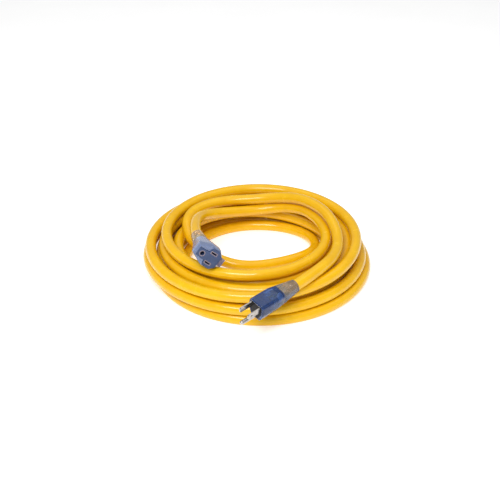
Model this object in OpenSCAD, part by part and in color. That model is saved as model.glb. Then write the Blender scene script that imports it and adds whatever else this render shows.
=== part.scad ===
// Jacketed 125 V power cord, coiled on the floor, with a moulded three-blade plug and a
// locking three-slot connector. Everything is in millimetres and stands on z = 0.

/* [Cord] */
// Outer diameter of the jacketed cord
cord_d = 12.7; // [12.2:0.1:13.2]
// Clear height between one layer of loops and the next
layer_gap = 0.5; // [0.45:0.05:1.5]
// Outer diameter of one insulated conductor
wire_d = 4.2; // [3.6:0.1:4.4]
// Room between the jacket and the bores that it runs in, on the diameter
jacket_room = 0.2; // [0.1:0.05:0.6]

/* [Pile of loops] */
// Radius at which the top layer starts, on the inside of the pile
pile_r = 80; // [72:1:84]
// Turns in each layer, from the top layer down
layer_turns = [1.25, 2.5, 3, 3.1]; // [0.5:0.05:4]
// Clear width between neighbouring loops of each layer, from the top layer down
lane_gaps = [22.5, 3.3, 3, 3]; // [1.2:0.1:30]
// How much wider than deep every loop lies
pile_widening = 3; // [0:0.5:6]

/* [Plug] */
// Width of the plug across its blades
plug_w = 22; // [21.5:0.5:28]
// Height of the plug, from its ground side to its blade side
plug_h = 22.6; // [22.4:0.2:28]
// Length of the moulded body behind the face
plug_body_len = 33; // [31:0.5:45]
// Length of the full-width part of the plug behind its face
plug_straight = 25; // [22:0.5:29]
// Length of the tapered strain relief behind the body
plug_relief_len = 23; // [20:0.5:40]
// Length of the blades outside the face
blade_len = 16.5; // [15.9:0.1:18.3]
// Length of the ground pin outside the face
pin_len = 20.5; // [19:0.1:21.5]

/* [Blades and slots] */
// Spacing of the two blades, centre to centre
blade_spacing = 12.7; // [12.5:0.1:13]
// Width of a blade
blade_w = 6.35; // [6:0.05:6.6]
// Thickness of a blade
blade_t = 1.5; // [1.3:0.05:1.65]
// Distance from the line of the blades to the centre of the ground pin
ground_offset = 11.9; // [11.6:0.1:12.2]
// Diameter of the ground pin
pin_d = 4.8; // [4.6:0.05:4.9]
// Room round the ground pin in its hole, on the diameter
pin_room = 0.4; // [0.2:0.05:0.5]
// Room round a blade in its slot, on each side
slot_room = 0.25; // [0.15:0.05:0.5]

/* [Connector] */
// Width of the connector across its slots
conn_w = 25; // [24:0.5:30]
// Height of the connector, from its ground side to its tab side
conn_h = 29; // [28.5:0.5:33]
// Length of the moulded housing behind its front plate
conn_body_len = 34; // [33.5:0.5:46]
// Length of the full-width part of the connector behind its face
conn_straight = 12; // [11.5:0.5:20]
// Diameter of the housing at its seam with the strain relief
conn_seam_d = 17.5; // [17.5:0.5:22]
// Length of the tapered strain relief behind the housing
conn_relief_len = 20; // [20:0.5:40]
// Thickness of the front plate, which stands on the front of the housing
front_t = 1.6; // [1.2:0.1:3]
// How far the edge of the front plate lies inside the edge of the housing
front_inset = 0.5; // [0.2:0.1:1.5]
// Wall of the housing round the contact block
conn_wall = 1.6; // [1.3:0.1:1.7]
// Thickness of the housing's front, which the neck of the contact block passes through
lip_t = 1.4; // [1:0.1:2]

/* [Release tab] */
// Travel of the tab when it is pressed in
tab_travel = 2.5; // [1:0.1:2.6]
// Width of the tab
tab_w = 10; // [8:0.5:11]
// How far the tab stands out of the housing
tab_out = 7.5; // [4:0.5:8]
// Thickness of the tab
tab_t = 2.6; // [2:0.1:3]
// Thickness of the lock plate
plate_t = 1.2; // [0.8:0.1:1.5]
// Running clearance on each side of what slides
slide_gap = 0.25; // [0.2:0.05:0.35]
// Outer diameter of the lock spring
spring_d = 4.2; // [3.4:0.1:4.6]
// Diameter of the spring's wire
spring_wire = 0.6; // [0.4:0.05:0.8]

/* [Hidden] */

jacket = "gold";
clear_blue = [0.25, 0.4, 0.75, 0.6];
face_blue = [0.15, 0.27, 0.6];
smoke = [0.6, 0.58, 0.5, 0.7];
black_wire = "dimgray";
white_wire = "white";
green_wire = "green";

// The middle of the standing part, measured from the middle of the pile
middle = [1, -20.4, 0];

// The pile. A turn is counted clockwise from the left side, in degrees.
rings_per_turn = 24;
coil_sides = 6;
first_angle = 150;
corner_turn = 0.12;            // half the stretch over which a reversing spiral is rounded
climb_turn = 0.5;              // the part of a turn in which the cord changes layer
layer_pitch = cord_d + layer_gap;
floor_cut = cord_d / 10;       // the lowest loops are pressed flat by this much
floor_z = cord_d / 2 - floor_cut;
layer_shift = [[-3, -2], [-4, 2], [2, 2], [3, -1]];

function lerp(a, b, t) = a + (b - a) * t;
function ease(t) = let (u = min(1, max(0, t))) u * u * (3 - 2 * u);
function sum(v, n) = n <= 0 ? 0 : v[n - 1] + sum(v, n - 1);
function unit(v) = v / norm(v);
function last(v) = v[len(v) - 1];

// Radius at the end of layer k: out, in, out and in again, each layer at its own steady rate
function layer_r(k) = k == 0 ? pile_r :
    layer_r(k - 1) + (k % 2 == 1 ? 1 : -1) * layer_turns[k - 1] * (cord_d + lane_gaps[k - 1]);
layer_count = len(layer_turns);
layer_ends = [for (k = [0 : layer_count]) sum(layer_turns, k)];
turns = last(layer_ends);
spiral_table = [for (k = [0 : layer_count]) [layer_ends[k], layer_r(k)]];

function spiral_r(t) = lookup(min(turns, max(0, t)), spiral_table);
function rounded_r(t) = let (near = [for (s = [-4 : 4]) spiral_r(t + s * corner_turn / 4)])
    sum(near, len(near)) / len(near);
// Layers passed on the way down: 0 in the top layer, layer_count - 1 on the floor
function depth(t) = sum([for (k = [1 : layer_count - 1])
    ease((t - layer_ends[k]) / climb_turn + 0.5)], layer_count - 1);
function shift_at(d) = let (k = min(layer_count - 2, floor(d)))
    lerp(layer_shift[k], layer_shift[k + 1], d - k);
function coil_point(t) =
    let (a = first_angle + 360 * t, d = depth(t), s = shift_at(d), r = rounded_r(t))
    [s[0] - (r + pile_widening) * cos(a), s[1] + r * sin(a),
     floor_z + layer_pitch * (layer_count - 1 - d)];

coil_steps = round(turns * rings_per_turn);
loops = [for (i = [0 : coil_steps]) coil_point(turns * i / coil_steps)];
// Both ends of the pile run straight for one diameter, the way that the cord heads there
nudge = 0.001;
coil_in = unit(coil_point(-nudge) - coil_point(nudge));
coil_out = unit(coil_point(turns + nudge) - coil_point(turns - nudge));
coil_head = loops[0] + cord_d * coil_in;
coil_foot = loops[coil_steps] + cord_d * coil_out;
coil_path = concat([coil_head], loops, [coil_foot]);

// Least gap of the cord to itself, between rings at least a sixth of a turn apart
apart = rings_per_turn / 6;
coil_last = len(coil_path) - 1;
coil_gap = min([for (i = [0 : coil_last - apart]) for (j = [i + apart : coil_last])
    norm(coil_path[i] - coil_path[j])]) - cord_d;

// A closed tube along points, with flat ends square to its first and last runs
function tube_ring(P, i, r, sides, up) =
    let (t = unit(P[min(len(P) - 1, i + 1)] - P[max(0, i - 1)]), s = unit(cross(t, up)),
         u = cross(s, t))
    [for (k = [0 : sides - 1]) let (a = 360 * k / sides) P[i] + r * (cos(a) * u + sin(a) * s)];
module tube(P, d, sides, up = [0, 0, 1]) {
    end = (len(P) - 1) * sides;
    walls = [for (i = [0 : len(P) - 2]) for (k = [0 : sides - 1])
        let (a = i * sides + k, b = i * sides + (k + 1) % sides)
        each [[a, a + sides, b], [b, a + sides, b + sides]]];
    caps = [for (k = [1 : sides - 2]) each [[0, k, k + 1], [end, end + k + 1, end + k]]];
    polyhedron([for (i = [0 : len(P) - 1]) each tube_ring(P, i, d / 2, sides, up)],
               concat(walls, caps));
}

// A smooth curve through points, in a few steps from each point to the next
function bend(a, b, c, d, u) = 0.5 * (2 * b + (c - a) * u + (2 * a - 5 * b + 4 * c - d) * u * u
    + (3 * b - a - 3 * c + d) * u * u * u);
function curve(P, steps) = let (n = len(P) - 1)
    [for (i = [0 : n - 1]) for (k = [0 : steps - 1])
        bend(i == 0 ? 2 * P[0] - P[1] : P[i - 1], P[i], P[i + 1],
             i == n - 1 ? 2 * P[n] - P[n - 1] : P[i + 2], k / steps), P[n]];

// Where the two ends lie: the middle of the face, then yaw, pitch and roll in degrees
plug_at = [-0.5, -158, 45];
plug_turn = [221, 95, 80];
conn_at = [-52.5, -94, 69.5];
conn_turn = [285, 84, -41];

function axis_of(turn) = [sin(turn[1]) * cos(turn[0]), sin(turn[1]) * sin(turn[0]), cos(turn[1])];
module place(at, turn) translate(at - middle) rotate([0, turn[1], turn[0]])
    rotate([0, 0, turn[2]]) children();
module plug_place() place(plug_at, plug_turn) children();
module conn_place() place(conn_at, conn_turn) children();
module pile_place() translate(-middle) children();

// The jacket runs straight for one diameter before each end, and stops inside it
plug_axis = axis_of(plug_turn);
conn_axis = axis_of(conn_turn);
plug_len = plug_body_len + plug_relief_len;
conn_len = front_t + conn_body_len + conn_relief_len;
rear_wall = 1;
plug_jacket_z = rear_wall - plug_body_len;
web_t = 1;                     // the closed end of each blade's contact
pin_contact_end = pin_len + 0.6;
conn_crimp_end = pin_contact_end + web_t + 3;
conn_jacket_z = -conn_crimp_end - 6.4;

lead_sides = 10;
lead_steps = 2;
lead_run = 3;                  // how far each lead carries straight on from the pile
plug_route = [[38, 75, 5.6], [56, 65, 6], [69, 49, 6.8], [74, 29, 8.5], [69, 9, 11.5],
    [55, -7, 14], [35, -18, 14.5], [11, -26, 14.5], [-12, -30, 15.5], [-34, -29, 19.5],
    [-57, -21, 27], [-77, -3, 36], [-84, 23, 43], [-78, 48, 45], [-58, 67, 45], [-33, 75, 45.5],
    [-6, 76, 46.5], [22, 72, 51], [48, 60, 57.5], [68, 42, 60], [84, 20, 59],
    [93, -6, 54.5], [95, -33, 50], [88, -62, 50.5], [75, -85, 52]];
conn_route = [[-71, -4, 59], [-69, 18, 54], [-59, 41, 45], [-38, 58, 38],
    [-12, 69, 34], [14, 72, 35], [38, 68, 40]];
plug_path = concat([coil_foot],
    curve(concat([coil_foot + lead_run * coil_out], plug_route,
                 [plug_at - (plug_len + cord_d) * plug_axis]), lead_steps),
    [plug_at + plug_jacket_z * plug_axis]);
conn_path = concat([conn_at + conn_jacket_z * conn_axis],
    curve(concat([conn_at - (conn_len + cord_d) * conn_axis], conn_route,
                 [coil_head + lead_run * coil_in]), lead_steps),
    [coil_head]);

function path_len(P) = sum([for (i = [1 : len(P) - 1]) norm(P[i] - P[i - 1])], len(P) - 1);
echo(cord_gap = coil_gap, coil_turns = turns);
echo(cord_length = path_len(coil_path) + path_len(plug_path) + path_len(conn_path));

module pressed_flat() {
    room = 1000;
    difference() {
        children();
        translate([-room / 2, -room / 2, -cord_d]) cube([room, room, cord_d]);
    }
}
module cord_coil() color(jacket) pressed_flat() pile_place()
    tube(coil_path, cord_d, coil_sides);
module plug_lead() color(jacket) pressed_flat() pile_place()
    tube(plug_path, cord_d, lead_sides);
module connector_lead() color(jacket) pile_place() tube(conn_path, cord_d, lead_sides);

// In both ends z runs out of the face, the blades or slots lie at blade_y and the ground
// pin or hole lies below them. The cord comes in along the z axis.
blade_y = 4.2;
pin_y = blade_y - ground_offset;
fit_gap = 0.1;
relief_end_wall = 1.1;
relief_end_d = cord_d + jacket_room + 2 * relief_end_wall;
slice = 0.01;
far = 100;

// A six-sided outline with cut corners. side_y is where the sides turn in to the foot.
module shield(w, top, bottom, foot_w, cut, side_y) polygon([
    [cut - w / 2, top], [w / 2 - cut, top], [w / 2, top - cut], [w / 2, side_y],
    [foot_w / 2, bottom], [-foot_w / 2, bottom], [-w / 2, side_y], [-w / 2, top - cut]]);

/* The plug's moulding */
plug_top = blade_y + 5.8;
plug_bottom = plug_top - plug_h;
plug_foot_w = plug_w - 9;
plug_cut = 3;
plug_side_y = -3;
plug_round = 1.5;
module plug_outline(grow) shield(plug_w + 2 * grow, plug_top + grow, plug_bottom - grow,
    plug_foot_w + grow, plug_cut, plug_side_y);
// The tapering part behind the full-width part, cut at the seam between body and relief
module plug_taper() hull() {
    translate([0, 0, -plug_straight]) linear_extrude(slice) plug_outline(0);
    translate([0, 0, -plug_len]) cylinder(d = relief_end_d, h = slice, $fn = 32);
}
module jacket_bore(z_from, z_to) translate([0, 0, z_from])
    cylinder(d = cord_d + jacket_room, h = z_to - z_from, $fn = 48);

/* The bridge that carries the blades and the pin */
bridge_wall = 1.4;
bridge_depth = 16;
bridge_w = blade_spacing + blade_t + 2 * bridge_wall;
bridge_foot_w = pin_d + 2 * bridge_wall;
bridge_top = blade_y + blade_w / 2 + bridge_wall;
bridge_bottom = pin_y - pin_d / 2 - 1.2;
bridge_cut = 1.5;
bridge_side_y = -1;
pin_root_d = pin_d - 0.4;      // the pin is stepped down where it sits in the bridge
module bridge_outline(grow) shield(bridge_w + 2 * grow, bridge_top + grow,
    bridge_bottom - grow, bridge_foot_w + 2 * grow, bridge_cut, bridge_side_y);
module prong_holes() {
    for (x = [-1, 1] * blade_spacing / 2)
        translate([x - blade_t / 2 - fit_gap, blade_y - blade_w / 2 - fit_gap, -far / 2])
            cube([blade_t + 2 * fit_gap, blade_w + 2 * fit_gap, far]);
    translate([0, pin_y, -far / 2]) cylinder(d = pin_root_d + 2 * fit_gap, h = far, $fn = 48);
}
module plug_bridge() color("black") plug_place() difference() {
    translate([0, 0, -bridge_depth]) linear_extrude(bridge_depth) bridge_outline(0);
    prong_holes();
}

/* Blades and pin, each with the barrel that holds its wire */
tail_end = bridge_depth + 2;
crimp_d = 3.6;
crimp_len = 7;
crimp_end = tail_end + crimp_len;
crimp_lap = 1;
wire_spots = [[-5.2, 2.2], [5.2, 2.2], [0, -5.2]];
jacket_spots = [[-2.5, 1.5], [2.5, 1.5], [0, -2.9]];
module crimp(spot, z_from, z_to) translate([spot[0], spot[1], z_from])
    cylinder(d = crimp_d, h = z_to - z_from, $fn = 32);
module blade(side) {
    nose = 1.2;
    hole_d = 3.1;
    hole_z = 11.7;
    half = blade_w / 2;
    difference() {
        translate([side * blade_spacing / 2 - blade_t / 2, blade_y, 0]) rotate([90, 0, 90])
            linear_extrude(blade_t) polygon([
                [-half, -tail_end], [half, -tail_end], [half, blade_len - nose],
                [half - nose, blade_len], [nose - half, blade_len],
                [-half, blade_len - nose]]);
        translate([-far / 2, blade_y, hole_z]) rotate([0, 90, 0])
            cylinder(d = hole_d, h = far, $fn = 32);
    }
    crimp(wire_spots[side < 0 ? 0 : 1], -crimp_end, crimp_lap - tail_end);
}
module line_blade() color("silver") plug_place() blade(-1);
module neutral_blade() color("silver") plug_place() blade(1);
module ground_pin() color("silver") plug_place() {
    shank = pin_len - pin_d / 2;
    translate([0, pin_y, -tail_end]) cylinder(d = pin_root_d, h = tail_end, $fn = 48);
    translate([0, pin_y, 0]) cylinder(d = pin_d, h = shank, $fn = 48);
    translate([0, pin_y, shank]) sphere(d = pin_d, $fn = 48);
    crimp(wire_spots[2], -crimp_end, crimp_lap - tail_end);
}

/* The plug's body and its strain relief */
chamber_d = 16.4;
pocket_depth = tail_end + 0.5;
module plug_body() color(clear_blue) plug_place() difference() {
    union() {
        hull() {
            translate([0, 0, -plug_round]) linear_extrude(slice) plug_outline(0);
            translate([0, 0, -slice]) linear_extrude(slice) plug_outline(-plug_round / 2);
            translate([0, 0, -plug_straight]) linear_extrude(slice) plug_outline(0);
        }
        intersection() {
            plug_taper();
            translate([-far / 2, -far / 2, -plug_body_len]) cube([far, far, plug_body_len]);
        }
    }
    translate([0, 0, -pocket_depth]) linear_extrude(far) bridge_outline(fit_gap);
    translate([0, 0, plug_jacket_z])
        cylinder(d = chamber_d, h = -plug_jacket_z - pocket_depth + 1, $fn = 48);
    jacket_bore(-far, plug_jacket_z + 1);
}
module plug_strain_relief() color(smoke) plug_place() difference() {
    intersection() {
        plug_taper();
        translate([-far / 2, -far / 2, -far - plug_body_len]) cube([far, far, far]);
    }
    jacket_bore(-far, 0);
}

/* Conductors, from the cut end of the jacket to the barrels */
wire_sides = 8;
module wire(from, to, z_from, z_to) {
    run = 1.2;
    tube([[from[0], from[1], z_from], [from[0], from[1], z_from + run],
          [to[0], to[1], z_to - run], [to[0], to[1], z_to]], wire_d, wire_sides, [0, 1, 0]);
}
module plug_wire(i) plug_place() wire(jacket_spots[i], wire_spots[i], plug_jacket_z, -crimp_end);
module plug_line_wire() color(black_wire) plug_wire(0);
module plug_neutral_wire() color(white_wire) plug_wire(1);
module plug_ground_wire() color(green_wire) plug_wire(2);

/* The connector's outline */
conn_top = blade_y + 11;
conn_bottom = conn_top - conn_h;
conn_cut = 5;
conn_foot_w = conn_w - 12;
conn_side_y = -1;
conn_round = 2;
conn_seam = -front_t - conn_body_len;
module conn_outline(grow) shield(conn_w + 2 * grow, conn_top + grow, conn_bottom - grow,
    conn_foot_w + grow, conn_cut, conn_side_y);
module conn_slice(z, grow) translate([0, 0, z]) linear_extrude(slice) conn_outline(grow);
// Full width behind the face, and then a taper down to the round seam
module conn_taper(grow) {
    conn_slice(-conn_straight, grow);
    translate([0, 0, conn_seam]) cylinder(d = conn_seam_d + 2 * grow, h = slice, $fn = 32);
}
// The same shape drawn in, from end_z to top_z: the housing's inside and the block in it
module conn_inside(inset, end_z, top_z) intersection() {
    hull() {
        conn_slice(top_z - slice, -inset);
        conn_taper(-inset);
    }
    box([-far, -far, end_z], [far, far, far]);
}

/* What slides: the tab, the plate that locks the blades and the spring behind them */
tab_gap = 0.3;
plate_z = -5.4;
stem_z = plate_z - plate_t;
inner_top = conn_top - conn_wall;
foot_t = 2.5;
foot_top = inner_top - tab_gap;
foot_bottom = foot_top - foot_t;
foot_z = stem_z - slide_gap - spring_d;
spring_z = stem_z - slide_gap - spring_d / 2;
spring_seat = 0.5;
plate_w = blade_spacing + 2 * 2.6;
plate_bottom = blade_y - blade_w / 2 - 2.4;
plate_shoulder = inner_top - conn_cut + 0.6;
slot_w = blade_t + 2 * slot_room;
slot_h = blade_w + 2 * slot_room;

// A box from its least to its greatest corner
module box(a, b) translate(a) cube(b - a);
module release_tab() color(clear_blue) conn_place() {
    out = conn_top + tab_out;
    ridge = 0.5;
    box([-tab_w / 2, foot_bottom, stem_z - tab_t], [tab_w / 2, out, stem_z]);
    box([-tab_w / 2, foot_bottom, foot_z], [tab_w / 2, foot_top, stem_z]);
    for (k = [0 : 2])
        translate([0, out - 1.2 - 1.5 * k, stem_z]) rotate([0, 90, 0])
            cylinder(r = ridge, h = tab_w - 2, center = true, $fn = 24);
}
module lock_plate() color("gray") conn_place() difference() {
    union() {
        box([-plate_w / 2, plate_bottom, stem_z], [plate_w / 2, plate_shoulder, plate_z]);
        box([-tab_w / 2, plate_bottom, stem_z], [tab_w / 2, foot_top, plate_z]);
    }
    for (x = [-1, 1] * blade_spacing / 2)
        translate([x, blade_y + tab_travel, stem_z]) cube([slot_w + 0.4, slot_h, far],
            center = true);
}
module lock_spring() color("silver") conn_place() {
    curls = 6;
    curl_steps = 8;
    r = (spring_d - spring_wire) / 2;
    rise = foot_bottom - spring_seat - spring_wire;
    tube([for (i = [0 : curls * curl_steps]) let (a = 360 * i / curl_steps)
        [r * cos(a), spring_seat + spring_wire / 2 + rise * i / (curls * curl_steps),
         spring_z + r * sin(a)]], spring_wire, 6, [0, 1, 0]);
}

/* The contact block with its front plate */
pin_hole_depth = 7.6;
leaf_t = 0.7;
leaf_gap = blade_t + 0.3;
contact_h = 5.4;
contact_z = -8;
contact_end = blade_len + 2.1;
block_depth = contact_end - 3.6;
pin_grip_end = 14;
strip_w = 2.6;
strip_t = 0.5;
pin_leaf_t = 0.5;
pin_contact_room = 0.8;        // round the pin in its contact, on the diameter
pin_contact_bore_d = pin_d + pin_contact_room;
pin_contact_d = pin_contact_bore_d + 2 * pin_leaf_t;
cavity_gap = 0.3;
lamp_d = 4;
lamp_len = 10;
lamp_y = 5.5;
resistor_d = 2.5;
resistor_len = 8;
bulb_gap = 0.2;
bulb_z = foot_z - slide_gap - 0.9;   // the bottom of the lamp's and the resistor's pockets
rim_w = 0.8;
rim_h = 0.3;
// The front plate: wide at the slots, with slanted shoulders down to the ground hole
module front_outline(grow) {
    wide = conn_w / 2 - 1.3 + grow;
    lobe = pin_d / 2 + 3.1 + grow;
    top = conn_top - front_inset + grow;
    foot = conn_bottom + front_inset - grow;
    cut = conn_cut - 0.3;
    right = [[wide - cut, top], [wide, top - cut], [wide, 1 - grow], [lobe, -1.6 - grow],
        [lobe - 0.6, foot + 0.4], [lobe - 1.2, foot]];
    polygon(concat(right, [for (i = [len(right) - 1 : -1 : 0]) [-right[i][0], right[i][1]]]));
}
// The block's neck, which joins the front plate to the block through the housing's front
neck_z = -front_t - lip_t;
module neck(grow) intersection() {
    conn_inside(conn_wall + fit_gap - grow, neck_z - 1, 0);
    translate([0, 0, neck_z - 1]) linear_extrude(far) front_outline(grow);
}
module slot(x, grow, z_from, z_to) box(
    [x - slot_w / 2 - grow, blade_y - slot_h / 2 - grow, z_from],
    [x + slot_w / 2 + grow, blade_y + slot_h / 2 + grow, z_to]);
module contact_block() color(face_blue) conn_place() difference() {
    union() {
        translate([0, 0, -front_t]) linear_extrude(front_t) front_outline(0);
        conn_inside(conn_wall + fit_gap, -block_depth, neck_z - fit_gap);
        neck(0);
        for (x = [-1, 1] * blade_spacing / 2) slot(x, rim_w, -front_t, rim_h);
        translate([0, pin_y, -front_t])
            cylinder(d = pin_d + pin_room + 2 * rim_w, h = front_t + rim_h, $fn = 48);
    }
    for (x = [-1, 1] * blade_spacing / 2) {
        slot(x, 0, contact_z, far);
        cavity_w = leaf_gap + 2 * leaf_t + 2 * cavity_gap;
        box([x - cavity_w / 2, blade_y - contact_h / 2 - cavity_gap, -far],
            [x + cavity_w / 2, blade_y + contact_h / 2 + cavity_gap, contact_z + cavity_gap]);
    }
    translate([0, pin_y, -pin_hole_depth - 1])
        cylinder(d = pin_d + pin_room, h = far, $fn = 48);
    translate([0, pin_y, -far])
        cylinder(d = pin_contact_d + 2 * cavity_gap, h = far - pin_hole_depth, $fn = 48);
    box([-plate_w / 2 - slide_gap, plate_bottom - tab_travel - tab_gap, stem_z - slide_gap],
        [plate_w / 2 + slide_gap, far, plate_z + slide_gap]);
    box([-tab_w / 2 - slide_gap, foot_bottom - tab_travel - tab_gap, foot_z - slide_gap],
        [tab_w / 2 + slide_gap, far, stem_z]);
    box([-spring_d / 2 - slide_gap, spring_seat, foot_z - slide_gap],
        [spring_d / 2 + slide_gap, foot_top, stem_z]);
    translate([0, lamp_y, bulb_z - far])
        cylinder(d = lamp_d + 2 * bulb_gap, h = far, $fn = 32);
    translate([0, 0, bulb_z - far])
        cylinder(d = resistor_d + 2 * bulb_gap, h = far, $fn = 32);
}

/* Contacts, wires, lamp and resistor inside the connector */
conn_wire_spots = [[5, 3.2], [-5, 3.2], [0, -5]];
conn_jacket_spots = [[2.5, 1.5], [-2.5, 1.5], [0, -2.9]];
module slot_contact(i, side) {
    x = side * blade_spacing / 2;
    low = blade_y - contact_h / 2;
    outer = leaf_gap / 2 + leaf_t;
    for (s = [-1, 1]) box([x + min(s * leaf_gap / 2, s * outer), low, -contact_end],
        [x + max(s * leaf_gap / 2, s * outer), low + contact_h, contact_z]);
    box([x - outer, low, -contact_end - web_t], [x + outer, low + contact_h, -contact_end]);
    crimp(conn_wire_spots[i], -conn_crimp_end, -contact_end - web_t / 2);
}
module line_contact() color("gold") conn_place() slot_contact(0, 1);
module neutral_contact() color("gold") conn_place() slot_contact(1, -1);
module ground_contact() color("gold") conn_place() {
    translate([0, pin_y, 0]) difference() {
        translate([0, 0, -pin_grip_end])
            cylinder(d = pin_contact_d, h = pin_grip_end + contact_z, $fn = 48);
        translate([0, 0, -far]) cylinder(d = pin_contact_bore_d, h = 2 * far, $fn = 48);
    }
    box([-strip_w / 2, pin_y + pin_contact_bore_d / 2, -pin_contact_end - web_t],
        [strip_w / 2, pin_y + pin_contact_bore_d / 2 + strip_t, contact_z]);
    crimp(conn_wire_spots[2], -conn_crimp_end, -pin_contact_end - web_t / 2);
}
module conn_wire(i) conn_place()
    wire(conn_jacket_spots[i], conn_wire_spots[i], conn_jacket_z, -conn_crimp_end);
module connector_line_wire() color(black_wire) conn_wire(0);
module connector_neutral_wire() color(white_wire) conn_wire(1);
module connector_ground_wire() color(green_wire) conn_wire(2);
module indicator_lamp() color("orange") conn_place()
    translate([0, lamp_y, bulb_z - bulb_gap - lamp_len]) {
        cylinder(d = lamp_d, h = lamp_len - lamp_d / 2, $fn = 32);
        translate([0, 0, lamp_len - lamp_d / 2]) sphere(d = lamp_d, $fn = 32);
    }
module lamp_resistor() color("tan") conn_place()
    translate([0, 0, bulb_z - bulb_gap - resistor_len])
        cylinder(d = resistor_d, h = resistor_len, $fn = 32);

/* The connector's housing and its strain relief */
block_room = contact_end + web_t + cavity_gap;
pin_tip_gap = 0.5;
module connector_body() color(clear_blue) conn_place() difference() {
    hull() {
        conn_slice(-front_t - slice, -front_inset);
        conn_slice(-front_t - conn_round, 0);
        conn_taper(0);
    }
    conn_inside(conn_wall, -block_room, neck_z);
    neck(fit_gap);
    translate([0, pin_y, -pin_contact_end])
        cylinder(d = pin_d + 2 * pin_tip_gap, h = pin_contact_end, $fn = 48);
    translate([0, 0, conn_jacket_z])
        cylinder(d = chamber_d, h = -conn_jacket_z - contact_end, $fn = 48);
    jacket_bore(-far, conn_jacket_z + 1);
    box([-tab_w / 2 - slide_gap, 0, stem_z - tab_t - slide_gap],
        [tab_w / 2 + slide_gap, far, stem_z + 0.5 + slide_gap]);
}
module connector_strain_relief() color(smoke) conn_place() difference() {
    translate([0, 0, -conn_len])
        cylinder(d1 = relief_end_d, d2 = conn_seam_d, h = conn_relief_len, $fn = 48);
    jacket_bore(-far, 0);
}

cord_coil();
plug_lead();
connector_lead();
plug_body();
plug_strain_relief();
plug_bridge();
line_blade();
neutral_blade();
ground_pin();
plug_line_wire();
plug_neutral_wire();
plug_ground_wire();
connector_body();
connector_strain_relief();
contact_block();
line_contact();
neutral_contact();
ground_contact();
connector_line_wire();
connector_neutral_wire();
connector_ground_wire();
indicator_lamp();
lamp_resistor();
release_tab();
lock_plate();
lock_spring();
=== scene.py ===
import math

import bpy
import numpy as np
from mathutils import Euler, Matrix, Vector


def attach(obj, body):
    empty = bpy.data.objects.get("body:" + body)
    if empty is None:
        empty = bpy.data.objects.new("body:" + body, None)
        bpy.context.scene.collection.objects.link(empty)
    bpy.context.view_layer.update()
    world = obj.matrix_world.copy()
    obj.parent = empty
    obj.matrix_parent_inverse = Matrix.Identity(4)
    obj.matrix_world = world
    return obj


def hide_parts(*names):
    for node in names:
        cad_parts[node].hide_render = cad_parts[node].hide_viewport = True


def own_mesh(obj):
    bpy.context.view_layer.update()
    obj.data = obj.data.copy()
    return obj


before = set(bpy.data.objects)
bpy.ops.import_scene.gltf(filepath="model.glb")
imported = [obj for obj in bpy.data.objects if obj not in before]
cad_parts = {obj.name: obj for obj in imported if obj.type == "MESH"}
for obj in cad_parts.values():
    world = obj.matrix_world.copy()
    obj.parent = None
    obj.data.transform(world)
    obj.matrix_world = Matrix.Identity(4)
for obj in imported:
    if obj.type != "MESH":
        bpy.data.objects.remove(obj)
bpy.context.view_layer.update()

# ---- Camera and light -------------------------------------------------------------------
# The cord lies on a pale table top and is seen from in front and above, as a person who
# stands at the table sees it. The key is a soft box high in front, which draws a short
# bright streak on every strand, and a wide weak one overhead fills the shade.
mm = 0.001                              # sizes are in millimetres, and Blender's in metres
middle = np.array([1, -20.4, 0.0])      # of the whole footprint, from the pile's middle
image_side = 500
focal_length = 905                      # in pixels
camera_distance = 1100
camera_elevation = math.radians(33)
pile_pixel = (256, 263.2)               # where the pile's middle falls in the image
sensor_width = 36
room_brightness = 0.45

lens = bpy.data.cameras.new("camera")
lens.sensor_width = sensor_width
lens.lens = sensor_width * focal_length / image_side
lens.shift_x = 0.5 - pile_pixel[0] / image_side
lens.shift_y = pile_pixel[1] / image_side - 0.5
lens.clip_start = 0.01
camera = bpy.data.objects.new("camera", lens)
bpy.context.collection.objects.link(camera)
towards = np.array([0, math.cos(camera_elevation), -math.sin(camera_elevation)])
camera.location = (-camera_distance * towards - middle) * mm
camera.rotation_euler = Euler((math.pi / 2 - camera_elevation, 0, 0))
bpy.context.scene.camera = camera
bpy.context.scene.view_settings.view_transform = "Standard"

soft_boxes = {                          # place and size in metres, and watts
    "key": ((-0.18, -0.76, 1.0), (0.65, 0.5), 11.5),
    "fill": ((0.1, 0.3, 1.3), (1.6, 1.2), 5),
}
for name, (place, size, watts) in soft_boxes.items():
    lamp = bpy.data.lights.new(name, "AREA")
    lamp.shape = "RECTANGLE"
    lamp.size, lamp.size_y = size
    lamp.energy = watts
    box = bpy.data.objects.new(name, lamp)
    bpy.context.collection.objects.link(box)
    box.location = place
    box.rotation_euler = (-Vector(place)).to_track_quat("-Z", "Y").to_euler()

room = bpy.data.worlds.new("room")
room.use_nodes = True
room.node_tree.nodes["Background"].inputs["Color"].default_value = (1, 1, 1, 1)
room.node_tree.nodes["Background"].inputs["Strength"].default_value = room_brightness
bpy.context.scene.world = room


# ---- Table top --------------------------------------------------------------------------
# A wide sheet of matt white laminate, which is not part of the cord. A faint grain in it
# keeps its shine from being even.
def mesh_object(name, points, faces, material):
    """Makes an object from points in millimetres, with its place in its mesh."""
    mesh = bpy.data.meshes.new(name)
    mesh.from_pydata((np.asarray(points) * mm).tolist(), [], [list(f) for f in faces])
    mesh.polygons.foreach_set("use_smooth", [True] * len(mesh.polygons))
    mesh.materials.append(material)
    mesh.update()
    made = bpy.data.objects.new(name, mesh)
    bpy.context.collection.objects.link(made)
    return made


def finish(name):
    """A new material, its node tree and its shader."""
    made = bpy.data.materials.new(name)
    made.use_nodes = True
    tree = made.node_tree
    return made, tree, tree.nodes["Principled BSDF"]


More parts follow.
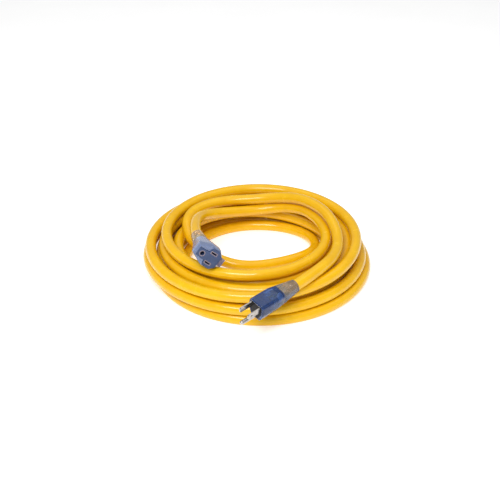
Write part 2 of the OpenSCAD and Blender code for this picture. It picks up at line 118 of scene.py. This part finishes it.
def add(tree, kind, values=(), **settings):
    """A new node with its settings, its input values and its inputs' links."""
    node = tree.nodes.new("ShaderNode" + kind)
    for key, value in settings.items():
        setattr(node, key, value)
    for key, value in dict(values).items():
        if isinstance(value, bpy.types.NodeSocket):
            tree.links.new(value, node.inputs[key])
        else:
            node.inputs[key].default_value = value
    return node


def shades(tree, mask, dark, light):
    """A colour between two others, by a mask."""
    ramp = add(tree, "ValToRGB", {"Fac": mask})
    ramp.color_ramp.elements[0].color = (*dark, 1)
    ramp.color_ramp.elements[1].color = (*light, 1)
    return ramp.outputs["Color"]


def between(tree, mask, low, high):
    """A number between two others, by a mask."""
    ranged = add(tree, "MapRange", {"Value": mask, "To Min": low, "To Max": high})
    return ranged.outputs["Result"]


def grain_group():
    """Two sizes of unevenness: a fine height, and a broad mask of handling marks."""
    group = bpy.data.node_groups.new("surface_grain", "ShaderNodeTree")
    for name, way, start in [("Grain Scale", "INPUT", 900), ("Mark Scale", "INPUT", 40),
                             ("Height", "OUTPUT", 0), ("Marks", "OUTPUT", 0)]:
        socket = group.interface.new_socket(name=name, in_out=way,
                                            socket_type="NodeSocketFloat")
        socket.default_value = start
    ins = group.nodes.new("NodeGroupInput")
    outs = group.nodes.new("NodeGroupOutput")
    place = add(group, "TexCoord").outputs["Object"]
    fine = add(group, "TexNoise", {"Vector": place, "Scale": ins.outputs["Grain Scale"],
                                   "Detail": 3, "Roughness": 0.6})
    broad = add(group, "TexNoise", {"Vector": place, "Scale": ins.outputs["Mark Scale"],
                                    "Detail": 5, "Roughness": 0.65, "Distortion": 0.4})
    spread = add(group, "MapRange", {"Value": broad.outputs["Fac"], "From Min": 0.35,
                                     "From Max": 0.65})
    group.links.new(fine.outputs["Fac"], outs.inputs["Height"])
    group.links.new(spread.outputs["Result"], outs.inputs["Marks"])
    return group


surface_grain = grain_group()


def grain(tree, grain_scale, mark_scale):
    """Places the grain group: its height and its marks."""
    node = tree.nodes.new("ShaderNodeGroup")
    node.node_tree = surface_grain
    node.inputs["Grain Scale"].default_value = grain_scale
    node.inputs["Mark Scale"].default_value = mark_scale
    return node.outputs["Height"], node.outputs["Marks"]


def bump(tree, shader, height, depth):
    """Raises the surface by height times depth, in metres."""
    node = add(tree, "Bump", {"Height": height, "Distance": depth, "Strength": 1})
    tree.links.new(node.outputs["Normal"], shader.inputs["Normal"])


laminate, tree, shader = finish("white_laminate")
height, marks = grain(tree, grain_scale=600, mark_scale=6)
tree.links.new(shades(tree, marks, (0.88, 0.88, 0.88), (0.9, 0.9, 0.9)),
               shader.inputs["Base Color"])
tree.links.new(between(tree, marks, 0.75, 0.85), shader.inputs["Roughness"])
shader.inputs["Specular IOR Level"].default_value = 0.15
shader.inputs["Emission Color"].default_value = (1, 1, 1, 1)
shader.inputs["Emission Strength"].default_value = 0.36
bump(tree, shader, height, depth=0.00002)
table_half = 6000
corners = [(-table_half, -table_half, 0), (table_half, -table_half, 0),
           (table_half, table_half, 0), (-table_half, table_half, 0)]
mesh_object("table_top", corners, [(0, 1, 2, 3)], laminate)

# ---- Cord -------------------------------------------------------------------------------
# 25 ft of heavy three-conductor cord in an extruded golden vinyl jacket. It runs from the
# plug down to the floor, up through four layers of loose loops, and on to the connector.
cord_d = 12.7
cord_sides = 32
start_radius = 80
layer_turns = [1.25, 2.5, 3, 3.1]       # from the top layer down
layer_ways = [1, -1, 1, -1]             # the spiral winds outwards, then inwards
lane_gaps = [22.5, 3.3, 3, 3]           # between neighbouring loops of a layer
layer_shift = np.array([[-3, -2], [-4, 2], [2, 2], [3, -1]])
pile_widening = 3                       # the loops reach this much further to each side
layer_pitch = 13.2
first_angle = math.radians(150)
corner_turn = 0.12                      # in turns, what is rounded each side of a reversal
corner_samples = 4                      # points on each side in the mean that rounds it
climb_turn = 0.5                        # in turns, what a step to the next layer takes
points_per_turn = 96
floor_z = 0.4 * cord_d                  # the lowest loops are pressed flat by a tenth

layers = len(layer_turns)
layer_ends = np.concatenate([[0], np.cumsum(layer_turns)])
turns = layer_ends[-1]
steps_out = [way * count * (cord_d + gap)
             for way, count, gap in zip(layer_ways, layer_turns, lane_gaps)]
layer_radii = start_radius + np.concatenate([[0], np.cumsum(steps_out)])


def ease(t):
    """Rises smoothly from 0 to 1 as t does."""
    u = np.clip(t, 0, 1)
    return u * u * (3 - 2 * u)


def loop_points(t):
    """The middle of the wound cord, t turns from the top."""
    radius = np.mean([np.interp(t + s * corner_turn / corner_samples, layer_ends, layer_radii)
                      for s in range(-corner_samples, corner_samples + 1)], axis=0)
    layer = sum(ease((t - end) / climb_turn + 0.5) for end in layer_ends[1:-1])
    shift_x = np.interp(layer, range(layers), layer_shift[:, 0])
    shift_y = np.interp(layer, range(layers), layer_shift[:, 1])
    angle = first_angle + 2 * math.pi * t
    return np.stack([shift_x - (radius + pile_widening) * np.cos(angle),
                     shift_y + radius * np.sin(angle),
                     floor_z + layer_pitch * (layers - 1 - layer)], axis=-1)


def unit(v):
    return v / np.linalg.norm(v)


def axis_of(turn):
    """The way that an end faces, from its yaw and pitch in degrees."""
    yaw, pitch = np.radians(turn[:2])
    return np.array([math.sin(pitch) * math.cos(yaw), math.sin(pitch) * math.sin(yaw),
                     math.cos(pitch)])


def curve_through(points, steps):
    """A smooth curve through points, in steps from each point to the next."""
    p = np.vstack([2 * points[0] - points[1], points, 2 * points[-1] - points[-2]])
    u = (np.arange(steps) / steps)[:, None]
    runs = [0.5 * (2 * b + (c - a) * u + (2 * a - 5 * b + 4 * c - d) * u ** 2
                   + (3 * b - a - 3 * c + d) * u ** 3)
            for a, b, c, d in zip(p[:-3], p[1:-2], p[2:-1], p[3:])]
    return np.vstack(runs + [points[-1:]])


plug_at = np.array([-0.5, -158, 45])    # the middle of the face, measured from the pile
plug_turn = [221, 95, 80]               # yaw, pitch and roll
plug_len = 56
plug_jacket_z = -32                     # where the jacket ends inside
conn_at = np.array([-52.5, -94, 69.5])
conn_turn = [285, 84, -41]
conn_len = 55.6
conn_jacket_z = -31.5
lead_run = 3                            # straight on from the loops before a lead turns
route_steps = 8
plug_route = [[38, 75, 5.6], [56, 65, 6], [69, 49, 6.8], [74, 29, 8.5], [69, 9, 11.5],
              [55, -7, 14], [35, -18, 14.5], [11, -26, 14.5], [-12, -30, 15.5],
              [-34, -29, 19.5], [-57, -21, 27], [-77, -3, 36], [-84, 23, 43],
              [-78, 48, 45], [-58, 67, 45], [-33, 75, 45.5], [-6, 76, 46.5],
              [22, 72, 51], [48, 60, 57.5], [68, 42, 60], [84, 20, 59], [93, -6, 54.5],
              [95, -33, 50], [88, -62, 50.5], [75, -85, 52]]
conn_route = [[-71, -4, 59], [-69, 18, 54], [-59, 41, 45], [-38, 58, 38], [-12, 69, 34],
              [14, 72, 35], [38, 68, 40]]

nudge = 0.001                           # in turns, to find which way the loops' ends run
plug_axis = axis_of(plug_turn)
conn_axis = axis_of(conn_turn)
loops = loop_points(np.linspace(0, turns, round(turns * points_per_turn)))
heading_in = unit(loops[0] - loop_points(np.array([nudge]))[0])
heading_out = unit(loops[-1] - loop_points(np.array([turns - nudge]))[0])
head = loops[0] + cord_d * heading_in
foot = loops[-1] + cord_d * heading_out
plug_run = curve_through(np.vstack([foot + lead_run * heading_out, plug_route,
                                    plug_at - (plug_len + cord_d) * plug_axis]), route_steps)
conn_run = curve_through(np.vstack([conn_at - (conn_len + cord_d) * conn_axis, conn_route,
                                    head + lead_run * heading_in]), route_steps)
rough_path = np.vstack([plug_at + plug_jacket_z * plug_axis, plug_run[::-1], foot,
                        loops[::-1], head, conn_run[::-1],
                        conn_at + conn_jacket_z * conn_axis])

# Even steps along the path, then each point drawn to its neighbours, as a stiff cord lies
ring_step = 4
softening = 9
along = np.concatenate([[0], np.cumsum(np.linalg.norm(np.diff(rough_path, axis=0), axis=1))])
fine_at = np.linspace(0, along[-1], round(along[-1]))
fine_path = np.stack([np.interp(fine_at, along, rough_path[:, k]) for k in range(3)], axis=-1)
reach = 4 * softening                   # points further off no longer draw
weights = np.exp(-0.5 * (np.arange(-reach, reach + 1) / softening) ** 2)
weights /= weights.sum()
lead_in = fine_path[0] + np.arange(-reach, 0)[:, None] * (fine_path[1] - fine_path[0])
lead_out = fine_path[-1] + np.arange(1, reach + 1)[:, None] * (fine_path[-1] - fine_path[-2])
padded = np.vstack([lead_in, fine_path, lead_out])
soft_path = np.stack([np.convolve(padded[:, k], weights, "valid") for k in range(3)], axis=-1)
cord_path = np.vstack([soft_path[:-1:ring_step], soft_path[-1:]]) - middle


def tube(name, path, diameter, sides, material):
    """A closed tube along a path, with a map of its length and its girth in metres."""
    tangent = np.gradient(path, axis=0)
    tangent /= np.linalg.norm(tangent, axis=1)[:, None]
    side = np.cross(tangent, [0, 0, 1])
    side /= np.linalg.norm(side, axis=1)[:, None]
    up = np.cross(side, tangent)
    angle = 2 * math.pi * np.arange(sides) / sides - math.pi / 2
    ring = (np.cos(angle)[None, :, None] * side[:, None]
            + np.sin(angle)[None, :, None] * up[:, None])
    points = (path[:, None] + diameter / 2 * ring).reshape(-1, 3)
    points[:, 2] = np.maximum(points[:, 2], 0)      # flat where it is pressed on the table
    count = len(path)
    faces = [(i * sides + k, i * sides + (k + 1) % sides,
              (i + 1) * sides + (k + 1) % sides, (i + 1) * sides + k)
             for i in range(count - 1) for k in range(sides)]
    caps = [tuple(range(sides))[::-1], tuple((count - 1) * sides + k for k in range(sides))]
    made = mesh_object(name, points, faces + caps, material)
    length = np.concatenate([[0], np.cumsum(np.linalg.norm(np.diff(path, axis=0), axis=1))])
    girth = math.pi * diameter / sides
    layout = made.data.uv_layers.new(name="length_and_girth")
    flat = [(length[i + di], (k + dk) * girth) for i in range(count - 1) for k in range(sides)
            for di, dk in ((0, 0), (0, 1), (1, 1), (1, 0))]
    flat += [(0, 0)] * (2 * sides)                  # the caps' corners
    layout.data.foreach_set("uv", (np.array(flat, float) * mm).ravel())
    return made


core_swell = 0.8                        # what each gives of the jacket's relief
line_swell = 0.12
grain_swell = 0.05
jacket, tree, shader = finish("golden_vinyl_jacket")
height, marks = grain(tree, grain_scale=1500, mark_scale=55)
on_cord = add(tree, "UVMap", uv_map="length_and_girth").outputs["UV"]
drawn_out = add(tree, "Mapping", {"Vector": on_cord, "Scale": (12, 2600, 1)}).outputs["Vector"]
lines = add(tree, "TexNoise", {"Vector": drawn_out, "Scale": 1, "Detail": 3}).outputs["Fac"]
lay = add(tree, "Mapping", {"Vector": on_cord, "Scale": (30, 75, 1)}).outputs["Vector"]
cores = add(tree, "TexWave", {"Vector": lay, "Scale": 0.33, "Distortion": 1.5, "Detail": 2,
                              "Detail Scale": 0.6}, bands_direction="DIAGONAL").outputs["Fac"]
tone = add(tree, "Math", {0: marks, 1: lines}, operation="MULTIPLY").outputs[0]
tree.links.new(shades(tree, tone, (0.77, 0.42, 0.002), (0.87, 0.53, 0.005)),
               shader.inputs["Base Color"])
tree.links.new(between(tree, marks, 0.2, 0.28), shader.inputs["Roughness"])
shader.inputs["Specular IOR Level"].default_value = 0.28
shader.inputs["Coat Weight"].default_value = 0.28
shader.inputs["Coat Roughness"].default_value = 0.1
swell = add(tree, "Math", {0: cores, 1: core_swell}, operation="MULTIPLY").outputs[0]
drawn = add(tree, "Math", {0: lines, 1: line_swell, 2: swell},
            operation="MULTIPLY_ADD").outputs[0]
relief = add(tree, "Math", {0: height, 1: grain_swell, 2: drawn},
             operation="MULTIPLY_ADD").outputs[0]
bump(tree, shader, relief, depth=0.00012)

cord = tube("power_cord", cord_path, cord_d, cord_sides, jacket)
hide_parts("cord_coil", "plug_lead", "connector_lead")
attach(cord, "cord_set")

# ---- Plug moulding ----------------------------------------------------------------------
# The plug's body is clear blue vinyl, moulded round the bridge, the crimped wires and the
# end of the jacket. Its sides are flat, with soft corners, and it narrows towards the cord.
facings = 96                            # points in each ring of a moulding


def shield(width, top, bottom, foot, cut, side_y):
    """The corners of a six-sided outline with cut upper corners, leftwards from the top."""
    left = [(cut - width / 2, top), (-width / 2, top - cut), (-width / 2, side_y),
            (-foot / 2, bottom)]
    return np.array(left + [(-x, y) for x, y in reversed(left)])


def disc(radius):
    angle = 2 * math.pi * np.arange(facings) / facings
    return radius * np.stack([np.cos(angle), np.sin(angle)], axis=-1)


def outline(corners, radius, grow=0):
    """An outline with round corners: one point for each way that it can face."""
    edge = np.roll(corners, -1, axis=0) - corners
    normal = np.stack([edge[:, 1], -edge[:, 0]], axis=-1) / np.linalg.norm(edge, axis=1)[:, None]
    before = np.roll(normal, 1, axis=0)
    inward = (normal + before) / (1 + (normal * before).sum(axis=1))[:, None]
    centres = corners - (radius - grow) * inward
    facing = disc(1)
    return centres[np.argmax(facing @ centres.T, axis=1)] + radius * facing


def at_height(flat, z):
    return np.column_stack([flat, np.full(len(flat), z)])


def stand(points, at, turn):
    """Carries points from an end's own axes, z out of its face, to the cord's place."""
    yaw, pitch, roll = np.radians(turn)
    spin = np.array(Euler((0, 0, roll)).to_matrix())
    aim = np.array(Euler((0, pitch, yaw)).to_matrix())
    return points @ (aim @ spin).T + at - middle


def skin(name, rings, at, turn, material, joined=False):
    """A skin over rings of points. Its ends meet, or each is closed with a flat face."""
    count = len(rings)
    last = count if joined else count - 1
    faces = [((i + 1) % count * facings + k, (i + 1) % count * facings + (k + 1) % facings,
              i * facings + (k + 1) % facings, i * facings + k)
             for i in range(last) for k in range(facings)]
    if not joined:
        faces += [tuple(range(facings)), tuple((count - 1) * facings + k
                                               for k in reversed(range(facings)))]
    return mesh_object(name, stand(np.vstack(rings), at, turn), faces, material)


def round_edge(shape, z, radius, steps=5):
    """Rings that turn a round edge, from the face at z to the side below it."""
    turn = [math.pi / 2 * k / steps for k in range(steps + 1)]
    return [at_height(shape(-radius * (1 - math.sin(a))), z - radius * (1 - math.cos(a)))
            for a in turn]


def clear_vinyl(name, deep, pale, clearness, rough):
    """Moulded clear vinyl: a little cloudy, with a soft flow pattern from the mould."""
    made, tree, shader = finish(name)
    height, marks = grain(tree, grain_scale=700, mark_scale=120)
    tree.links.new(shades(tree, marks, deep, pale), shader.inputs["Base Color"])
    tree.links.new(between(tree, marks, rough, rough * 1.5), shader.inputs["Roughness"])
    shader.inputs["Transmission Weight"].default_value = clearness
    shader.inputs["IOR"].default_value = 1.5
    bump(tree, shader, height, depth=0.00002)
    return made


blue_vinyl = clear_vinyl("clear_blue_vinyl", (0.03, 0.1, 0.36), (0.07, 0.17, 0.5),
                         clearness=0.8, rough=0.05)

plug_corners = shield(width=22, top=10, bottom=-12.6, foot=13, cut=3, side_y=-3)
plug_round = 1.5
plug_corner_r = 3.6
plug_straight = 25                      # from the face to where the sides start to narrow
plug_body_len = 33
relief_end_r = 7.55                     # of both ends' reliefs
seam_share = 0.985                      # the body's end is this much smaller at the seam
crease = 0.4                            # a ring this near a bend in the side keeps it crisp
bridge_corners = shield(width=17, top=8.775, bottom=-11.3, foot=7.6, cut=1.5, side_y=-1)
bridge_corner_r = 0.4
bridge_depth = 16
fit_gap = 0.1
bore_r = cord_d / 2 + fit_gap


def plug_section(grow):
    return outline(plug_corners, plug_corner_r, grow)


def plug_taper(z):
    """The plug's outline at z: full width, then narrowing to the round end."""
    share = np.interp(-z, [plug_straight, plug_len], [0, 1])
    return (1 - share) * plug_section(0) + share * disc(relief_end_r)


pocket = outline(bridge_corners, bridge_corner_r, fit_gap)
body_rings = [at_height(pocket, -bridge_depth - fit_gap), at_height(pocket, 0)]
body_rings += round_edge(plug_section, 0, plug_round)
body_rings += [at_height(plug_taper(z), z) for z in (
    crease - plug_straight, -crease - plug_straight, crease - plug_body_len)]
body_rings += [at_height(seam_share * plug_taper(-plug_body_len), -plug_body_len),
               at_height(disc(bore_r), -plug_body_len),
               at_height(disc(bore_r), plug_jacket_z + fit_gap)]
plug_body = skin("plug_moulding", body_rings, plug_at, plug_turn, blue_vinyl)
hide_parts("plug_body")
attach(plug_body, "cord_set")

# ---- Plug's strain relief ---------------------------------------------------------------
# A sleeve of smoky clear vinyl, moulded onto the jacket behind the body. It narrows to a
# rounded lip. The golden jacket shows through it, and it is coloured blue-grey below a set
# height, along its underside.
lip_r = 0.45
lip_steps = 5
groove_z = (-53.6, -54.2)               # a shallow groove runs round before the lip
groove_share = 0.97
seam_gap = 0.02                         # between a body and its relief


def recolour(material, mask, colour):
    """Gives a material another colour where the mask is 1."""
    tree = material.node_tree
    base = tree.nodes["Principled BSDF"].inputs["Base Color"]
    plain = base.links[0].from_socket
    first, second, result = 6, 7, 2     # a Mix node's sockets for colours
    mixed = add(tree, "Mix", {0: mask, first: plain, second: colour}, data_type="RGBA")
    tree.links.new(mixed.outputs[result], base)


def relief_lip(end_z):
    """Rings from a relief's side round its lip to the bore, at the sleeve's end."""
    rings = [at_height(disc(relief_end_r - lip_r * (1 - math.cos(a))),
                       end_z + lip_r * (1 - math.sin(a)))
             for a in np.linspace(0, math.pi / 2, lip_steps)]
    return rings + [at_height(disc(bore_r), end_z)]


smoky_vinyl = clear_vinyl("smoky_clear_vinyl", (0.52, 0.45, 0.36), (0.64, 0.56, 0.46),
                          clearness=0.8, rough=0.1)
underside_blue = (0.13, 0.2, 0.42, 1)
underside_z = 0.0505                    # half blue at this height, in metres
underside_fade = 0.0025
tree = smoky_vinyl.node_tree
place = add(tree, "TexCoord").outputs["Object"]
level = add(tree, "SeparateXYZ", {"Vector": place}).outputs["Z"]
below = add(tree, "MapRange", {"Value": level, "From Min": underside_z + underside_fade,
                               "From Max": underside_z - underside_fade}).outputs["Result"]
recolour(smoky_vinyl, below, underside_blue)

seam_z = -plug_body_len - seam_gap
relief_rings = [at_height(disc(bore_r), seam_z),
                at_height(seam_share * plug_taper(-plug_body_len), seam_z)]
relief_rings += [at_height(plug_taper(z), z) for z in (-crease - plug_body_len, -40, -48, -53)]
relief_rings += [at_height(groove_share * plug_taper(z), z) for z in groove_z]
relief_rings += relief_lip(-plug_len)
plug_relief = skin("plug_relief_sleeve", relief_rings, plug_at, plug_turn, smoky_vinyl,
                   joined=True)
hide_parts("plug_strain_relief")
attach(plug_relief, "cord_set")


# ---- Bridge, blades and ground pin ------------------------------------------------------
# The bridge is a block of hard black plastic. Two flat blades and a round pin of nickel
# plated brass are pressed through it, and each ends in a barrel crimped onto its wire.
def dress(names, material, edge=0.0, segments=2):
    """Gives CAD nodes their finish and a small round on their edges."""
    for name in names:
        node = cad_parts[name]
        mesh = node.data
        mesh.materials.clear()
        mesh.materials.append(material)
        mesh.polygons.foreach_set("use_smooth", [True] * len(mesh.polygons))
        if "custom_normal" in mesh.attributes:
            mesh.attributes.remove(mesh.attributes["custom_normal"])
        weld = node.modifiers.new("weld", "WELD")
        weld.merge_threshold = 0.00001
        flatten = node.modifiers.new("flatten", "DECIMATE")
        flatten.decimate_type = "DISSOLVE"
        flatten.angle_limit = math.radians(0.5)
        if edge:
            bevel = node.modifiers.new("edge", "BEVEL")
            bevel.width = edge * mm
            bevel.segments = segments
            bevel.limit_method = "ANGLE"
            bevel.angle_limit = math.radians(35)
            bevel.harden_normals = True


def hard_plastic(name, dark, light, rough):
    """Injection moulded plastic with a faint satin grain."""
    made, tree, shader = finish(name)
    height, marks = grain(tree, grain_scale=900, mark_scale=90)
    tree.links.new(shades(tree, marks, dark, light), shader.inputs["Base Color"])
    tree.links.new(between(tree, marks, rough, rough + 0.12), shader.inputs["Roughness"])
    bump(tree, shader, height, depth=0.00003)
    return made


def plated_metal(name, dark, light, rough):
    """Rolled or drawn metal, with fine lines along it and a few duller places."""
    made, tree, shader = finish(name)
    _, marks = grain(tree, grain_scale=2500, mark_scale=160)
    place = add(tree, "TexCoord").outputs["Object"]
    stretched = add(tree, "Mapping", {"Vector": place, "Rotation": (0, 0, 0.72),
                                      "Scale": (300, 9000, 9000)}).outputs["Vector"]
    lines = add(tree, "TexNoise", {"Vector": stretched, "Scale": 1, "Detail": 2}).outputs["Fac"]
    tree.links.new(shades(tree, marks, dark, light), shader.inputs["Base Color"])
    worn = add(tree, "Math", {0: marks, 1: lines}, operation="MULTIPLY").outputs[0]
    tree.links.new(between(tree, worn, rough, rough + 0.2), shader.inputs["Roughness"])
    shader.inputs["Metallic"].default_value = 1
    bump(tree, shader, lines, depth=0.000006)
    return made


black_plastic = hard_plastic("black_bridge_plastic", (0.006, 0.006, 0.007),
                             (0.012, 0.012, 0.014), rough=0.4)
shader = black_plastic.node_tree.nodes["Principled BSDF"]
shader.inputs["Specular IOR Level"].default_value = 0.15
nickel = plated_metal("nickel_plate", (0.34, 0.32, 0.3), (0.56, 0.53, 0.5), rough=0.18)
dress(["plug_bridge"], black_plastic, edge=0.25)
dress(["line_blade", "neutral_blade", "ground_pin"], nickel, edge=0.15)

# ---- Conductors -------------------------------------------------------------------------
# Three copper conductors in black, white and green vinyl leave the jacket inside each end
# and run to the barrels. They show as dark and pale marks through the clear mouldings.
black_wire = hard_plastic("black_insulation", (0.01, 0.01, 0.01), (0.02, 0.02, 0.02),
                          rough=0.35)
white_wire = hard_plastic("white_insulation", (0.7, 0.7, 0.67), (0.8, 0.8, 0.77), rough=0.35)
green_wire = hard_plastic("green_insulation", (0.015, 0.16, 0.03), (0.02, 0.22, 0.05),
                          rough=0.35)
dress(["plug_line_wire", "connector_line_wire"], black_wire)
dress(["plug_neutral_wire", "connector_neutral_wire"], white_wire)
dress(["plug_ground_wire", "connector_ground_wire"], green_wire)

# ---- Connector housing ------------------------------------------------------------------
# The connector's housing is a paler clear vinyl than the plug's. It is moulded round the
# wires and the contact block, with a T-shaped front and a window for the release tab.
grey_blue_vinyl = clear_vinyl("clear_grey_blue_vinyl", (0.25, 0.33, 0.56), (0.33, 0.41, 0.66),
                              clearness=0.5, rough=0.14)
dress(["connector_body"], grey_blue_vinyl, edge=0.5, segments=3)

# ---- Connector's strain relief ----------------------------------------------------------
# A short sleeve of milky clear vinyl, moulded onto the jacket behind the housing. It
# narrows towards the free cord and ends in the same rounded lip as the plug's.
milky_vinyl = clear_vinyl("milky_clear_vinyl", (0.85, 0.7, 0.46), (0.93, 0.8, 0.58),
                          clearness=0.8, rough=0.12)
conn_seam_z = -35.6                     # where the housing ends
conn_seam_r = 8.75
seam_edge = 0.25                        # the sleeve is this much narrower at the seam
sleeve_len = conn_len + conn_seam_z
narrowing = relief_end_r - conn_seam_r
conn_relief_rings = [at_height(disc(bore_r), conn_seam_z - seam_gap),
                     at_height(disc(conn_seam_r - seam_edge), conn_seam_z - seam_gap),
                     at_height(disc(conn_seam_r), conn_seam_z - crease)]
conn_relief_rings += [at_height(disc(conn_seam_r + narrowing * share),
                                conn_seam_z - sleeve_len * share)
                      for share in (0.3, 0.6, 0.85)]
conn_relief_rings += relief_lip(-conn_len)
conn_relief = skin("connector_relief_sleeve", conn_relief_rings, conn_at, conn_turn,
                   milky_vinyl, joined=True)
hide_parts("connector_strain_relief")
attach(conn_relief, "cord_set")

# ---- Contact block and contacts ---------------------------------------------------------
# The block is hard dark blue plastic. Its front plate has two slots and the ground hole,
# each with a raised rim, and rolled brass contacts sit in it behind them.
blue_plastic = hard_plastic("dark_blue_plastic", (0.025, 0.05, 0.13), (0.045, 0.075, 0.18),
                            rough=0.3)
painted_light_rim_colour = (0.27, 0.22, 0.26, 1)      # painted light: the raised rims are painted pale, standing in for the lit brass contacts in the slots
rim_start = 0.05                        # height above the front plate
tree = blue_plastic.node_tree
place = add(tree, "TexCoord").outputs["Object"]
from_face = add(tree, "VectorMath", {0: place, 1: tuple((conn_at - middle) * mm)},
                operation="SUBTRACT").outputs["Vector"]
rise = add(tree, "VectorMath", {0: from_face, 1: tuple(conn_axis)},
           operation="DOT_PRODUCT").outputs["Value"]
raised = add(tree, "Math", {0: rise, 1: rim_start * mm}, operation="GREATER_THAN").outputs[0]
# Paints the raised rims pale, as painted light for the brass contacts in the slots.
recolour(blue_plastic, raised, painted_light_rim_colour)
brass = plated_metal("rolled_brass", (0.5, 0.32, 0.1), (0.68, 0.47, 0.18), rough=0.22)
dress(["contact_block"], blue_plastic, edge=0.2)
dress(["line_contact", "neutral_contact", "ground_contact"], brass, edge=0.1)

# ---- Lamp and resistor ------------------------------------------------------------------
# A small amber neon lamp and its resistor lie behind the block, and show that the cord is
# live through the clear housing.
amber_glass = clear_vinyl("amber_glass", (0.85, 0.35, 0.08), (0.9, 0.42, 0.12),
                          clearness=0.8, rough=0.03)
tan_coat = hard_plastic("tan_coating", (0.45, 0.32, 0.17), (0.56, 0.42, 0.25), rough=0.4)
dress(["indicator_lamp"], amber_glass)
dress(["lamp_resistor"], tan_coat, edge=0.3, segments=3)

# ---- Release tab, lock plate and spring -------------------------------------------------
# Pressing the tab moves the lock plate in with it, which lets go of the blades. A coiled
# spring under the tab's foot pushes both back.
lavender_plastic = clear_vinyl("lavender_plastic", (0.3, 0.29, 0.5), (0.4, 0.38, 0.6),
                               clearness=0.45, rough=0.14)
spring_steel = plated_metal("spring_steel", (0.32, 0.32, 0.33), (0.5, 0.5, 0.51), rough=0.25)
dress(["release_tab"], lavender_plastic, edge=0.3, segments=3)
dress(["lock_plate", "lock_spring"], spring_steel, edge=0.08)
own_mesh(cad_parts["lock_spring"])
